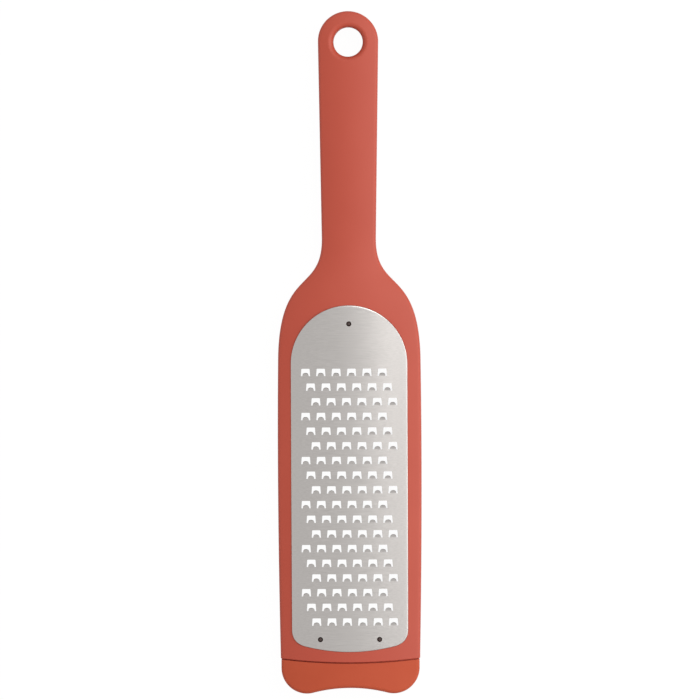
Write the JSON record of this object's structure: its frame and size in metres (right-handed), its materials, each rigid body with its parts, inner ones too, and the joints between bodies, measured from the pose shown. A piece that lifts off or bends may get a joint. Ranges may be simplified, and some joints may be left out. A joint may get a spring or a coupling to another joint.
{
  "type": "hand grater",
  "caption": "Flat coarse hand grater: a long handle with a hanging hole and a frame in one moulding, a punched steel grating plate on its front and a soft non-slip foot at its end.",
  "frame": {"origin": "on the surface that the grater lies on, under the middle of its length and width", "axes": "+Y along the grater towards the handle, +Z out of the grating face, +X to the right seen from the front"},
  "size_m": [0.0646, 0.3068, 0.0174],
  "materials": {
    "moulded_plastic": "matte terracotta moulding",
    "soft_foot": "matte terracotta soft rubber",
    "brushed_sheet": "stainless sheet, brushed across",
    "dark_pin": "dark satin"
  },
  "bodies": {
    "root": {"body": "moulded_plastic", "end_foot": "soft_foot", "grating_plate": "brushed_sheet", "plate_pin_top": "dark_pin", "plate_pin_left": "dark_pin", "plate_pin_right": "dark_pin"}
  },
  "joints": []
}
